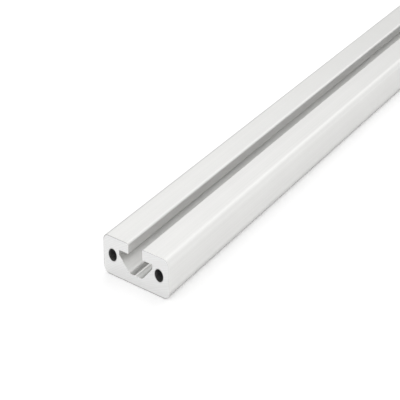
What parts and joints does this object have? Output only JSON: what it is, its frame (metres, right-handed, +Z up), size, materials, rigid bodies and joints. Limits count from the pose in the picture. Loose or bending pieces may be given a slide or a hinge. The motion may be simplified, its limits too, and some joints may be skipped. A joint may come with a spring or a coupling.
{
  "type": "aluminium extrusion profile",
  "caption": "Flat aluminium slot profile: a lightweight bar with a T-slot along its top face and round core bores for end screws, for building frames, guides and racks.",
  "frame": {"origin": "under the middle of the bar, on the plane that its underside rests on", "axes": "+Y along the bar, +X across its width, +Z up out of the slot; the end in the picture faces -Y"},
  "size_m": [0.04, 0.5, 0.016],
  "materials": {
    "anodised_aluminium": "natural anodised satin, extruded faces with faint lengthwise draw lines, sawn ends"
  },
  "bodies": {
    "root": {"profile_bar": "anodised_aluminium"}
  },
  "joints": []
}
